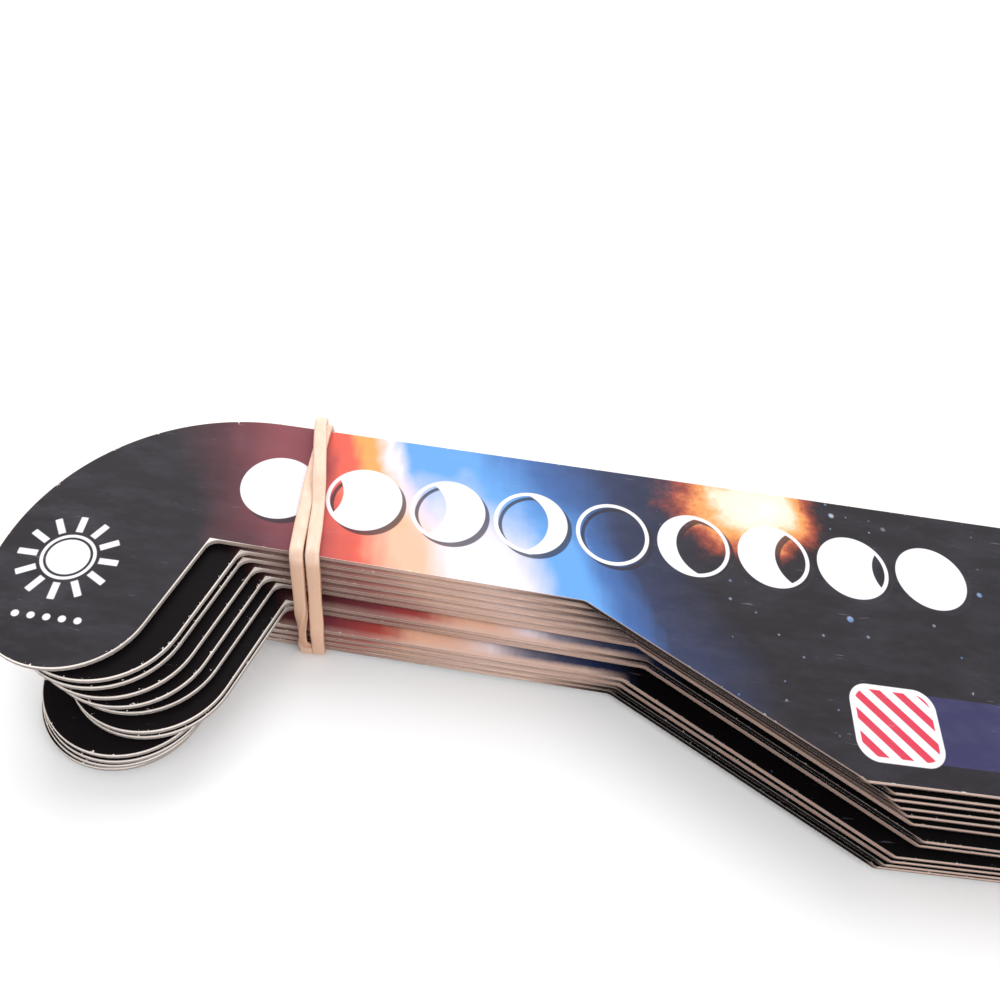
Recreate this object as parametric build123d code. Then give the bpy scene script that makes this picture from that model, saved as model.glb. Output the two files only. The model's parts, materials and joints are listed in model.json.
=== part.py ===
"""A banded bundle of twelve pairs of card eclipse glasses, opened flat and stacked print side up.

Frame: X runs along the glasses from the left ear hook to the right one, +Y is the brow edge, +Z is
the printed side. The origin is the middle of the bundle's footprint, on the surface it rests on.
Each pair is drawn in its own card frame first: x = 0 at the inner corner of the left ear hook,
y = 0 on the brow edge and z = 0 on the printed face.
"""
import os
from math import acos, cos, hypot, radians, sin, tan

from build123d import *

# One pair, card by card, in millimetres and degrees
BOARD_THICKNESS = 0.65
FILM_THICKNESS = 0.06
LINER_THICKNESS = 0.26
CREASE_SPACING = 150.0
FRONT_HEIGHT = 46.0
FRONT_CORNER_RUN = 12.0
FRONT_CORNER_RADIUS = 8.0
NOSE_FOOT_WIDTH = 36.0
NOSE_TOP_WIDTH = 18.0
NOSE_DEPTH = 16.0
NOSE_TOP_RADIUS = 7.0
NOSE_FOOT_RADIUS = 4.0
WINDOW_WIDTH = 36.0
WINDOW_HEIGHT = 28.0
WINDOW_RADIUS = 9.0
WINDOW_CHAMFER_SHARE = 0.6
WINDOW_SPACING = 70.0
WINDOW_DROP = 21.5
FILM_LAP = 2.5
LINER_CREASE_INSET = 5.0

# The temple, from its crease out to the ear hook
BASE_LENGTH = 43.0
BASE_HEIGHT = 34.8
FLARE_LENGTH = 28.7
ARM_LENGTH = 40.6
ARM_ROOT_HEIGHT = 18.5
ARM_TIP_HEIGHT = 17.1
TEMPLE_CORNER_RADIUS = 1.4
HOOK_ANGLE = 71.6
HOOK_DROP = 33.9
HOOK_SWEEP_RADIUS = 24.0
LOBE_RADIUS = 8.5

# The bundle: how each pair has slid and turned against the top one, top pair first
PAIR_COUNT = 12
PAIR_CLEARANCE = 0.03
SLIDE_ALONG = 8.5
SLIDE_ALONG_SHARES = (0, 0.38, 0.41, 0.56, 0.7, 0.84, 0.99, 1.0, 0.7, 0.69, 0.66, 0.61)
SLIDE_ACROSS = 5.0
SLIDE_ACROSS_SHARES = (0, 0.07, 0.12, 0.2, 0.27, 0.29, 0.57, 0.59, 0.94, 0.98, 1.0, 1.0)
TURN = 0.36
TURN_SHARES = (0, -0.28, -0.31, -0.28, -0.28, -1.0, -0.83, -0.86, 0.58, 0.67, 0.61, 0.6)

# The rubber band, one loop wound twice round the left arms
BAND_WIDTH = 1.5
BAND_THICKNESS = 0.8
BAND_CLEARANCE = 0.2
BAND_SLACK = 0.13
BAND_BEND_RADIUS = 0.8
BAND_EASY_RADIUS = 4.5
BAND_SHARP_TURN = 45.0
BAND_PLACE = 8.8
BAND_BACK_PLACE = 7.2
BAND_STRAND_SPACING = 2.1
BAND_CROSSED_SPACING = 1.4
BAND_LIFT = 1.25
BAND_LIFT_START = 12.9
BAND_LIFT_RUN = 2.4
BAND_TURNS = 2
LIFTED_BACK_CORNERS = 2
LIFTED_CORNERS = LIFTED_BACK_CORNERS + 2
BAND_LEAST_GAP = 0.4
BAND_SAMPLES = 600

# What follows from them
PITCH = BOARD_THICKNESS + FILM_THICKNESS + LINER_THICKNESS + PAIR_CLEARANCE
LEFT_CREASE = ARM_LENGTH + FLARE_LENGTH + BASE_LENGTH
RIGHT_CREASE = LEFT_CREASE + CREASE_SPACING
FRONT_MIDDLE = LEFT_CREASE + CREASE_SPACING / 2
STACK_BOTTOM = BAND_THICKNESS + BAND_CLEARANCE
STACK_TOP = STACK_BOTTOM + BOARD_THICKNESS + (PAIR_COUNT - 1) * PITCH
FILM_TOP = -BOARD_THICKNESS
HALF_TURN = 180
LINER_TOP = FILM_TOP - FILM_THICKNESS


def plate(outline, top, thickness):
    """A flat sheet cut to an outline, with its upper face at the given height."""
    return Pos(0, 0, top - thickness) * extrude(outline, amount=thickness)


def temple_outline():
    """The left temple: base, flare, arm and ear hook, as one closed face."""
    lean_x, lean_y = cos(radians(HOOK_ANGLE)), sin(radians(HOOK_ANGLE))
    lobe_y = LOBE_RADIUS - HOOK_DROP
    lobe_x = ((lobe_y + ARM_TIP_HEIGHT) * lean_x - LOBE_RADIUS) / lean_y
    # The sweep meets the lobe where both circles touch, on the line through their centres.
    centres = HOOK_SWEEP_RADIUS - LOBE_RADIUS
    rise = lobe_y + HOOK_SWEEP_RADIUS
    sweep_x = lobe_x + (centres**2 - rise**2) ** 0.5
    sweep_turn = acos_degrees(rise / centres)
    lobe_turn = HALF_TURN + HOOK_ANGLE - sweep_turn
    sweep = JernArc((sweep_x, 0), (-1, 0), HOOK_SWEEP_RADIUS, sweep_turn)
    lobe = JernArc(sweep @ 1, sweep % 1, LOBE_RADIUS, lobe_turn)
    underside = FilletPolyline(
        lobe @ 1,
        (0, -ARM_TIP_HEIGHT),
        (ARM_LENGTH, -ARM_ROOT_HEIGHT),
        (ARM_LENGTH + FLARE_LENGTH, -BASE_HEIGHT),
        (LEFT_CREASE, -BASE_HEIGHT),
        radius=TEMPLE_CORNER_RADIUS,
    )
    close = Polyline(underside @ 1, (LEFT_CREASE, 0), sweep @ 0)
    return make_face(Curve() + [sweep, lobe, underside, close])


def acos_degrees(share):
    """The angle whose cosine is the given share, in degrees."""
    return acos(share) / radians(1)


def front_outline():
    """The front panel between the two creases, with the nose notch in its lower edge."""
    side = CREASE_SPACING / 2
    notch_foot, notch_top = NOSE_FOOT_WIDTH / 2, NOSE_TOP_WIDTH / 2
    lower = FilletPolyline(
        (-side, -BASE_HEIGHT),
        (-side + FRONT_CORNER_RUN, -FRONT_HEIGHT),
        (-notch_foot, -FRONT_HEIGHT),
        (-notch_top, NOSE_DEPTH - FRONT_HEIGHT),
        (notch_top, NOSE_DEPTH - FRONT_HEIGHT),
        (notch_foot, -FRONT_HEIGHT),
        (side - FRONT_CORNER_RUN, -FRONT_HEIGHT),
        (side, -BASE_HEIGHT),
        radius=[
            FRONT_CORNER_RADIUS,
            NOSE_FOOT_RADIUS,
            NOSE_TOP_RADIUS,
            NOSE_TOP_RADIUS,
            NOSE_FOOT_RADIUS,
            FRONT_CORNER_RADIUS,
        ],
    )
    close = Polyline(lower @ 1, (side, 0), (-side, 0), lower @ 0)
    return Pos(FRONT_MIDDLE, 0) * make_face(Curve() + [lower, close])


def window_place(side):
    """The middle of a lens window; side is -1 for the left eye and 1 for the right."""
    return Pos(FRONT_MIDDLE + side * WINDOW_SPACING / 2, -WINDOW_DROP)


def windows(rounded):
    """Both lens windows, with rounded corners or, on the pairs inside the bundle, chamfered ones."""
    if rounded:
        outline = RectangleRounded(WINDOW_WIDTH, WINDOW_HEIGHT, WINDOW_RADIUS)
    else:
        corners = Rectangle(WINDOW_WIDTH, WINDOW_HEIGHT).vertices()
        outline = chamfer(corners, WINDOW_RADIUS * WINDOW_CHAMFER_SHARE)
    return [window_place(side) * outline for side in (-1, 1)]


def front_board(rounded=True):
    """The printed board of the front panel, with both lens windows cut out."""
    return plate(front_outline() - windows(rounded), 0, BOARD_THICKNESS)


def front_liner(rounded=True):
    """The thin card behind the films; it stops short of the creases so that they can fold."""
    width = CREASE_SPACING - 2 * LINER_CREASE_INSET
    reach = Pos(FRONT_MIDDLE, -FRONT_HEIGHT / 2) * Rectangle(width, FRONT_HEIGHT)
    return plate((front_outline() & reach) - windows(rounded), LINER_TOP, LINER_THICKNESS)


def lens_film(side):
    """One filter film, glued between board and liner all round its window."""
    outline = Rectangle(WINDOW_WIDTH + 2 * FILM_LAP, WINDOW_HEIGHT + 2 * FILM_LAP)
    return plate(window_place(side) * outline, FILM_TOP, FILM_THICKNESS)


def left_temple():
    return plate(temple_outline(), 0, BOARD_THICKNESS)


def right_temple():
    """The left temple's outline turned over about the middle of the front."""
    mirror_plane = Plane.YZ.offset(FRONT_MIDDLE)
    return plate(mirror(temple_outline(), about=mirror_plane), 0, BOARD_THICKNESS)


def pair_place(index):
    """Where a pair lies in the stack: slid along and across, and turned a little at its hook end."""
    along = SLIDE_ALONG * SLIDE_ALONG_SHARES[index]
    across = SLIDE_ACROSS * SLIDE_ACROSS_SHARES[index]
    turn = TURN * TURN_SHARES[index]
    return Location((along, -across, STACK_TOP - index * PITCH), (0, 0, turn))


def crease_point(index, along):
    """A point of a pair's printed face on the brow edge, in the stack's frame."""
    return (pair_place(index) * Pos(along, 0, 0)).position


def stack_corners():
    """Corners of every arm's cross-section under the band, as points (y, z)."""
    taper = (ARM_ROOT_HEIGHT - ARM_TIP_HEIGHT) / ARM_LENGTH
    arm_height = ARM_TIP_HEIGHT + taper * BAND_PLACE
    corners = []
    for index in range(PAIR_COUNT):
        top = pair_place(index).position
        lift = (BAND_PLACE - top.X) * tan(radians(TURN * TURN_SHARES[index]))
        for y in (top.Y + lift, top.Y + lift - arm_height):
            corners += [(y, top.Z), (y, top.Z - BOARD_THICKNESS)]
    return corners


def outer_ring(points):
    """The convex ring round points (y, z), counter-clockwise seen from +X, from its lowest y."""
    ordered = sorted(set(points))

    def chain(run):
        kept = []
        for point in run:
            while len(kept) > 1 and turn_of(kept[-2], kept[-1], point) <= 0:
                kept.pop()
            kept.append(point)
        return kept[:-1]

    return chain(ordered) + chain(ordered[::-1])


def turn_of(a, b, c):
    """Twice the signed area of a triangle, positive where a, b, c turn counter-clockwise."""
    return (b[0] - a[0]) * (c[1] - b[1]) - (b[1] - a[1]) * (c[0] - b[0])


def eased(ring):
    """A ring without the corners that stand hardly proud of their neighbours' chord."""
    ring = list(ring)
    while True:
        neighbours = list(zip(ring[-1:] + ring[:-1], ring, ring[1:] + ring[:1]))
        proud = [turn_of(a, b, c) / hypot(c[0] - a[0], c[1] - a[1]) for a, b, c in neighbours]
        if min(proud) > BAND_SLACK:
            return ring
        ring.pop(proud.index(min(proud)))


def pushed_out(ring, distance):
    """A ring's corners moved outwards, so that every side lies the given distance further out."""
    corners = []
    for before, point, after in zip(ring[-1:] + ring[:-1], ring, ring[1:] + ring[:1]):
        normals = []
        for a, b in ((before, point), (point, after)):
            length = hypot(b[0] - a[0], b[1] - a[1])
            normals.append(((b[1] - a[1]) / length, (a[0] - b[0]) / length))
        (ny, nz), (my, mz) = normals
        grow = distance / (1 + ny * my + nz * mz)
        corners.append((point[0] + (ny + my) * grow, point[1] + (nz + mz) * grow))
    return corners


def band_route():
    """Corners of the band's middle line: two turns side by side, the first lifted over the second.

    Each turn goes down the back of the stack, under it and up the front. The strand that follows
    the first turn crosses to the left of the other one on top, and stays lifted round the back.
    """
    ring = eased(outer_ring(stack_corners()))
    reach = BAND_CLEARANCE + BAND_THICKNESS / 2
    low, high = pushed_out(ring, reach), pushed_out(ring, reach + BAND_LIFT)
    highest = sorted(range(len(ring)), key=lambda place: ring[place][1])[-2:]
    back = max(highest, key=lambda place: ring[place][0])
    # Seen from +X the ring climbs the back edge and runs forwards over the top, so it is walked
    # backwards.
    order = [(back - step) % len(ring) for step in range(len(ring))]
    crossed = (BAND_STRAND_SPACING - BAND_CROSSED_SPACING) / 2
    route = []
    for turn in range(BAND_TURNS):
        aside = 0 if turn else BAND_STRAND_SPACING
        for step, place in enumerate(order):
            lifted = turn and step < LIFTED_BACK_CORNERS
            share = step / (len(order) - 1)
            x = BAND_BACK_PLACE + (BAND_PLACE - BAND_BACK_PLACE) * share + aside
            if step == 0:
                x += crossed if turn else -crossed
            route.append(Vector(x, *(high if lifted else low)[place]))
        if turn == 0:
            front = route[-1]
            for run, rise in ((0, 0), (BAND_LIFT_RUN, BAND_LIFT)):
                route.append(Vector(front.X, BAND_LIFT_RUN / 2 - BAND_LIFT_START + run, front.Z + rise))
    return route


def rounded_loop(corners):
    """The edges of a closed line: each corner's tangent arc, then the straight run after it."""
    edges = []
    arcs = []
    for before, corner, after in zip(corners[-1:] + corners[:-1], corners, corners[1:] + corners[:1]):
        back, ahead = (before - corner).normalized(), (after - corner).normalized()
        half_opening = radians(back.get_angle(ahead) / 2)
        sharp = half_opening < radians(90 - BAND_SHARP_TURN / 2)
        radius = BAND_BEND_RADIUS if sharp else BAND_EASY_RADIUS
        reach = radius / tan(half_opening)
        inset = radius / sin(half_opening) - radius
        middle = corner + (back + ahead).normalized() * inset
        arcs.append(ThreePointArc(corner + back * reach, middle, corner + ahead * reach))
    for arc, following in zip(arcs, arcs[1:] + arcs[:1]):
        edges += [arc, Line(arc @ 1, following @ 0)]
    return edges


def least_gap(line):
    """The least clear distance between stretches of the band that lie a good way apart along it."""
    points = [line @ (step / BAND_SAMPLES) for step in range(BAND_SAMPLES)]
    apart = BAND_SAMPLES // (BAND_TURNS * BAND_TURNS)
    gaps = []
    for step, one in enumerate(points):
        for other in points[step + apart : BAND_SAMPLES - apart + step]:
            aside = abs(one.X - other.X) - BAND_WIDTH
            off = hypot(one.Y - other.Y, one.Z - other.Z) - BAND_THICKNESS
            gaps.append(hypot(max(aside, 0), max(off, 0)))
    return min(gaps)


def swept_strip(edges):
    """The band's flat section carried along a run of edges; a line beside it keeps its width level."""
    line = Wire(edges)
    section = Plane(origin=line @ 0, x_dir=(1, 0, 0), z_dir=line % 0) * Rectangle(BAND_WIDTH, BAND_THICKNESS)
    return sweep(section, path=line, binormal=Pos(BAND_WIDTH, 0, 0) * line)


def rubber_band():
    """One flat strip closed on itself, swept in two runs that join end to end."""
    edges = rounded_loop(band_route())
    # Every corner gives an arc and the straight run after it. The first run begins on the flat
    # before the lift, and the second after the lifted corners at the back.
    corners_a_turn = len(edges) // (2 * BAND_TURNS) - 1
    lift_start = 2 * corners_a_turn - 1
    lift_end = lift_start + 2 * LIFTED_CORNERS
    band = swept_strip(edges[lift_start:lift_end])
    band += swept_strip(edges[lift_end:] + edges[:lift_start])
    line = Wire(edges)
    print("band least gap to itself:", round(least_gap(line), 3), "mm, wanted over", BAND_LEAST_GAP)
    section_length = BAND_WIDTH * BAND_THICKNESS * line.length
    print("band volume:", round(band.volume, 2), "and section times length:", round(section_length, 2))
    return band


def pair_pieces(index):
    """The named pieces of one pair; the outermost pairs keep plies and films as separate nodes."""
    name = f"pair_{index + 1:02d}"
    pieces = {f"{name}_left_temple": left_temple(), f"{name}_right_temple": right_temple()}
    if index in (0, PAIR_COUNT - 1):
        pieces[f"{name}_front_board"] = front_board()
        pieces[f"{name}_front_liner"] = front_liner()
        pieces[f"{name}_left_film"] = lens_film(-1)
        pieces[f"{name}_right_film"] = lens_film(1)
    else:
        plies = [front_board(rounded=False).solid(), front_liner(rounded=False).solid()]
        pieces[f"{name}_front_plies"] = Compound(plies)
        pieces[f"{name}_lens_films"] = Compound([lens_film(-1).solid(), lens_film(1).solid()])
    place = pair_place(index)
    return {node: place * piece for node, piece in pieces.items()}


def bundle():
    """Every piece by name, moved so that the origin is the middle of the footprint."""
    pieces = {"rubber_band": rubber_band()}
    for index in range(PAIR_COUNT):
        pieces |= pair_pieces(index)
    home = bundle_home(pieces)
    return {node: home * piece for node, piece in pieces.items()}


def bundle_home(pieces):
    """The move that brings the stack's frame to the bundle's own origin."""
    box = Compound([solid for piece in pieces.values() for solid in piece.solids()]).bounding_box()
    middle = box.center()
    return Pos(-middle.X, -middle.Y, -box.min.Z)


def main():
    os.makedirs("parts", exist_ok=True)
    for node, piece in bundle().items():
        export_step(piece, f"parts/{node}.step")


if __name__ == "__main__":
    main()
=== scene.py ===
"""Looks for a banded bundle of card eclipse glasses, opened flat and stacked print side up.

Every card keeps its own frame: u runs along it from the inner corner of the left ear hook, v is 0
on the brow edge and falls towards the nose, and w is 0 on the printed face. These are in millimetres,
and so are named sizes where no comment says otherwise. The object's frame, meshes and settings are in
metres.
"""

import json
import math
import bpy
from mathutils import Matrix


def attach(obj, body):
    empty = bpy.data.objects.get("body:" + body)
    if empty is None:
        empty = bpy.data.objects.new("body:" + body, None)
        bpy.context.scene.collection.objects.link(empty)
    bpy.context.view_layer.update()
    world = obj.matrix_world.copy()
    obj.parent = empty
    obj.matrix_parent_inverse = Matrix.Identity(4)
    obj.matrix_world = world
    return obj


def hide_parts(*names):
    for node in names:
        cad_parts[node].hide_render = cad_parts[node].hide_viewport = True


bl_info = {
    "name": "Eclipse Glasses Bundle",
    "version": (1, 0, 0),
    "blender": (4, 5, 0),
    "location": "3D View > Sidebar > Eclipse Glasses",
    "description": "Print, raw card edges, filter films and band of a bundle of card eclipse glasses",
    "category": "Object",
}

import bpy
import numpy as np
from bpy.props import FloatProperty, FloatVectorProperty, IntProperty, PointerProperty
from mathutils import Matrix, Vector
from mathutils.geometry import convex_hull_2d

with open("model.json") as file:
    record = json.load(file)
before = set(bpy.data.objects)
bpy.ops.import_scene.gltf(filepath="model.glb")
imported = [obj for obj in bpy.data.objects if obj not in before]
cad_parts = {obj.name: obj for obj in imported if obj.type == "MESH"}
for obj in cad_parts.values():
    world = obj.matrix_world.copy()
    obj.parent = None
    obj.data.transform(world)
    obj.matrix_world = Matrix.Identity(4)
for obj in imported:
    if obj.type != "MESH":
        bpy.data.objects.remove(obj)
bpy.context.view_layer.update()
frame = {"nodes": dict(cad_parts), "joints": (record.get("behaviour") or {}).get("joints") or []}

MM = 0.001
JOINTS = {joint["name"]: joint for joint in frame["joints"]}
PAIRS = sorted({name.split("_")[1] for name in frame["nodes"] if name.startswith("pair_")})

# The card's own places, in millimetres, as the solids have them
LEFT_CREASE_U = 112.3
FRONT_MIDDLE_U = 187.3
BOARD = 0.65
FILM = 0.06
ARM_TIP_HEIGHT = 17.1
ARM_TAPER = 1.4 / 40.6
HOOK_RADIUS = 24.0
SWEEP_CENTRE = (3.7, -24.0)
LOBE_RADIUS = 8.5
LOBE_CENTRE = (-11.7, -25.4)
# From the lobe's centre, the slopes of the lines to the sweep's centre and to the lower end of the
# hook's inner side, and the unit step straight across that side, as right and down
JOIN_SLOPE = 0.0909
INNER_SLOPE = -0.333
INNER_ACROSS = (0.95, 0.313)
# Corners of the straight sides, from that lower end by the hook corner and slanted cut to the crease
TEMPLE_CORNERS = ((-3.63, -28.1), (0.0, -17.1), (40.6, -18.5), (69.3, -34.8), (112.3, -34.8))


class CardFrame:
    """Where one pair's card lies: its hook corner on the printed face, and its turn about +Z. The left
    crease's axis runs against v."""

    def __init__(self, pair):
        joint = JOINTS[f"pair_{pair}_front_lift"]
        sine, cosine = joint["axis"][0], -joint["axis"][1]
        self.along = Vector((cosine, sine, 0))
        self.across = Vector((-sine, cosine, 0))
        self.turn = math.atan2(sine, cosine)
        self.origin = Vector(joint["pos_m"]) - self.along * LEFT_CREASE_U * MM

    def point(self, u, v, w=0.0):
        """A card point in millimetres as a place in the object's frame."""
        return self.origin + (self.along * u + self.across * v + Vector((0, 0, w))) * MM


TOP_CARD = CardFrame(PAIRS[0])


class Value:
    """A number or vector that changes over a surface: one socket, with arithmetic that adds nodes."""

    def __init__(self, shade, socket):
        self.shade = shade
        self.socket = socket

    def math(self, operation, *others, clamp=False):
        """One Math node with this value first and the others after it, clamped from 0 to 1 if asked."""
        settings = {"operation": operation, "use_clamp": clamp}
        return self.shade.node("ShaderNodeMath", settings, [self, *others])["Value"]

    # Each of Python's operators adds its Math node; reflected minus and over take the number first.
    def __add__(self, other):
        return self.math("ADD", other)

    __radd__ = __add__

    def __sub__(self, other):
        return self.math("SUBTRACT", other)

    def __rsub__(self, other):
        return self.shade.node("ShaderNodeMath", {"operation": "SUBTRACT"}, [other, self])["Value"]

    def __mul__(self, other):
        return self.math("MULTIPLY", other)

    __rmul__ = __mul__

    def __truediv__(self, other):
        return self.math("DIVIDE", other)

    def __rtruediv__(self, other):
        return self.shade.node("ShaderNodeMath", {"operation": "DIVIDE"}, [other, self])["Value"]

    def __neg__(self):
        return self.math("MULTIPLY", -1)

    def __abs__(self):
        return self.math("ABSOLUTE")

    def least(self, other):
        """The smaller of this value and another."""
        return self.math("MINIMUM", other)

    def most(self, other):
        """The larger of this value and another."""
        return self.math("MAXIMUM", other)

    def below(self, edge, soft):
        """1 where the value is under an edge and 0 over it: the edge less the value, over the soft
        width, plus a half, clamped."""
        return ((edge - self) / soft).math("ADD", 0.5, clamp=True)

    def above(self, edge, soft):
        """0 where the value is under an edge and 1 over it: the value less the edge, over the soft
        width, plus a half, clamped."""
        return ((self - edge) / soft).math("ADD", 0.5, clamp=True)


class Shade:
    """The node tree of one material, with one method that adds any node."""

    def __init__(self, name):
        self.material = bpy.data.materials.new(name)
        self.material.use_nodes = True
        self.tree = self.material.node_tree
        self.surface = self.tree.nodes["Principled BSDF"]

    def node(self, kind, settings, inputs):
        """Adds a node, sets its settings, then its sockets by place or name; gives its outputs by name."""
        node = self.tree.nodes.new(kind)
        for key, value in settings.items():
            if key == "stops":
                self.set_stops(node.color_ramp, value)
            else:
                setattr(node, key, value)
        named = inputs.items() if isinstance(inputs, dict) else enumerate(inputs)
        for key, value in named:
            self.feed(node.inputs[key], value)
        return {socket.name: Value(self, socket) for socket in node.outputs if socket.enabled}

    def feed(self, socket, value):
        """Links a value to a socket, or sets a plain number, vector or colour on it."""
        if isinstance(value, Value):
            self.tree.links.new(value.socket, socket)
        else:
            socket.default_value = value

    def set_stops(self, ramp, stops):
        """Gives a ramp its stops, which are (place, colour) pairs from 0 to 1."""
        while len(ramp.elements) < len(stops):
            ramp.elements.new(1.0)
        for element, (place, colour) in zip(ramp.elements, stops):
            element.position = place
            element.color = (*colour[:3], 1)

    def blend(self, share, low, high):
        """A colour between two: low plus the share, from 0 to 1, of high less low."""
        settings = {"data_type": "RGBA", "clamp_factor": True}
        inputs = {0: share, 6: rgba(low), 7: rgba(high)}
        return self.node("ShaderNodeMix", settings, inputs)["Result"]

    def ramp(self, share, stops):
        """The colour at a share of a row of stops, straight between each two."""
        return self.node("ShaderNodeValToRGB", {"stops": stops}, [share])["Color"]

    def noise(self, place, scale, detail=3.0, roughness=0.55, distortion=0.0):
        """Smooth noise about 0.5; scale is in waves per unit of the given place."""
        inputs = {
            "Vector": place, "Scale": scale, "Detail": detail, "Roughness": roughness,
            "Distortion": distortion,
        }
        return self.node("ShaderNodeTexNoise", {"noise_dimensions": "3D"}, inputs)["Fac"]

    def stretched(self, place, scale, turn=0.0):
        """A place scaled unevenly and turned about its Z, so that noise on it makes streaks."""
        inputs = {"Vector": place, "Rotation": (0, 0, turn), "Scale": scale}
        return self.node("ShaderNodeMapping", {"vector_type": "POINT"}, inputs)["Vector"]

    def length(self, x, y):
        """The square root of x squared plus y squared."""
        return (x * x + y * y).math("SQRT")

    def object_place(self):
        """The place in the object's own frame, in metres."""
        return self.node("ShaderNodeTexCoord", {}, [])["Object"]

    def split(self, vector):
        """The three parts of a vector or colour."""
        return list(self.node("ShaderNodeSeparateXYZ", {}, [vector]).values())

    def bump(self, height, distance, strength):
        """The normal of a surface raised by height times a distance in metres."""
        inputs = {"Height": height, "Distance": distance, "Strength": strength}
        return self.node("ShaderNodeBump", {}, inputs)["Normal"]

    def finish(self, **sockets):
        """Feeds the surface's sockets, named as in the editor with _ for a space."""
        for name, value in sockets.items():
            self.feed(self.surface.inputs[name.replace("_", " ")], rgba(value))
        return self.material


def rgba(colour):
    """A colour of three numbers gets its fourth; anything else stays as it is."""
    if isinstance(colour, Value) or not hasattr(colour, "__len__"):
        return colour
    return (*colour[:3], 1) if len(colour) == 3 else tuple(colour)


def tint(*display):
    """A colour as a display shows it, each channel from 0 to 255, as linear light: the channel's share
    of 255 over 12.92 if it is small, or else plus 0.055, over 1.055, to the power 2.4."""
    return tuple((channel / 255 / 12.92) if channel < 11 else ((channel / 255 + 0.055) / 1.055) ** 2.4
                 for channel in display)


def settings(context):
    """The bundle's sizes and colours."""
    return context.scene.eclipse_glasses


def colour_setting(name, description, default):
    """A colour property, in linear light."""
    return FloatVectorProperty(
        name=name, description=description, default=default, subtype="COLOR", size=3, min=0, max=1
    )


def size_setting(name, description, millimetres):
    """A length property, with its default in millimetres."""
    return FloatProperty(
        name=name, description=description, default=millimetres * MM, subtype="DISTANCE",
        unit="LENGTH", min=0, precision=5,
    )


def share_setting(name, description, default):
    """A property from 0 to 1."""
    return FloatProperty(name=name, description=description, default=default, min=0, max=1)


def power_setting(name, description, watts):
    """A light's power."""
    return FloatProperty(name=name, description=description, default=watts, min=0, unit="POWER")


def angle_setting(name, description, degrees):
    """An angle property, with its default in degrees."""
    return FloatProperty(
        name=name, description=description, default=math.radians(degrees), subtype="ANGLE", unit="ROTATION"
    )


class CardLook(bpy.types.PropertyGroup):
    """Colours of the printed board and the plain liner."""

    white_ink: colour_setting("White ink", "Discs, sun and badge edge", tint(240, 238, 242))
    raw_edge: colour_setting("Raw edge", "Cut edge of the board", tint(228, 196, 180))
    hook_edge: colour_setting("Hook edge", "Cut edge of the board at the ear hook", tint(250, 240, 232))
    back: colour_setting("Back", "Unprinted side of the board", tint(208, 205, 202))
    liner: colour_setting("Liner", "Thin card behind the lenses", tint(214, 211, 206))
    gloss: share_setting("Roughness", "Roughness of the ink", 0.42)


class GlowLook(bpy.types.PropertyGroup):
    """Colours of the print's ground and of its glow, from the hook's side to the crease's."""

    ink: colour_setting("Ink", "Dark ground of the print", tint(19, 15, 17))
    plum: colour_setting("Plum", "Glow next to the hook", tint(128, 60, 68))
    coral: colour_setting("Coral", "Glow's hottest band", tint(222, 92, 72))
    amber: colour_setting("Amber", "Glow's yellow band", tint(242, 158, 84))
    pale: colour_setting("Pale", "Glow's brightest band", tint(238, 226, 236))
    peach: colour_setting("Peach", "Warm tone of the lower side", tint(240, 182, 152))
    sky: colour_setting("Sky", "Light blue band", tint(94, 156, 222))
    blue: colour_setting("Blue", "Deep blue band", tint(56, 98, 160))
    slate: colour_setting("Slate", "Blue that fades into the ink", tint(34, 46, 78))


class MotifLook(bpy.types.PropertyGroup):
    """Sizes and places of the plain printed motifs."""

    disc_radius: size_setting("Disc radius", "Radius of each phase disc", 4.25)
    disc_pitch: size_setting("Disc pitch", "Spacing of the phase discs", 9.5)
    disc_count: IntProperty(name="Discs", description="Number of phase discs", default=9, min=1)
    disc_start: size_setting("First disc", "Middle of the first disc from the hook corner", 5.6)
    disc_drop: size_setting("Disc drop", "Middle of the discs below the brow edge", 9.2)
    sun_radius: size_setting("Sun radius", "Radius of the sun with its rays", 5.0)
    red: colour_setting("Badge red", "Stripes of the badge", tint(206, 52, 74))
    navy: colour_setting("Badge navy", "Bare panel beside the stripes", tint(42, 42, 82))


class FilmLook(bpy.types.PropertyGroup):
    """The dark filter film of the lenses."""

    colour: colour_setting("Film", "Colour of the filter film", tint(26, 26, 28))
    roughness: share_setting("Roughness", "Roughness of the film", 0.14)


class BandLook(bpy.types.PropertyGroup):
    """The rubber band's section and colour."""

    width: size_setting("Width", "Width of the band's flat strand", 1.5)
    thickness: size_setting("Thickness", "Thickness of the band", 0.8)
    light: colour_setting("Light", "Stretched rubber where it catches light", tint(248, 222, 202))
    dark: colour_setting("Dark", "Rubber in its thick places", tint(216, 172, 146))
    # The sides' and borders' colours are painted shade; the borders' colour also tints the grit
    side: colour_setting("Sides", "Rubber down the stack's sides", tint(196, 152, 124))
    border: colour_setting("Borders", "Rubber at the strand's borders", tint(164, 116, 90))


class StageLook(bpy.types.PropertyGroup):
    """Floor, light and camera."""

    floor: colour_setting("Floor", "Plain pale floor", tint(246, 246, 247))
    key_power: power_setting("Key light", "Power of the main soft light", 66)
    fill_power: power_setting("Fill light", "Power of the front soft light", 22)
    sky: share_setting("Sky", "Strength of the even light", 0.86)
    lens: FloatProperty(name="Lens", description="Focal length in millimetres", default=32.4, min=1)
    distance: size_setting("Distance", "From the camera to the card", 103.82)
    target: FloatVectorProperty(
        name="Target", description="Card point that the camera looks at", size=2, subtype="XYZ",
        unit="LENGTH", default=(30.36 * MM, -6.59 * MM), precision=5,
    )
    elevation: angle_setting("Elevation", "Camera height above the floor's plane", 52.48)
    azimuth: angle_setting("Azimuth", "Camera turn about the upright", -5.72)
    roll: angle_setting("Roll", "Camera roll about its view", 12.58)


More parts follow.
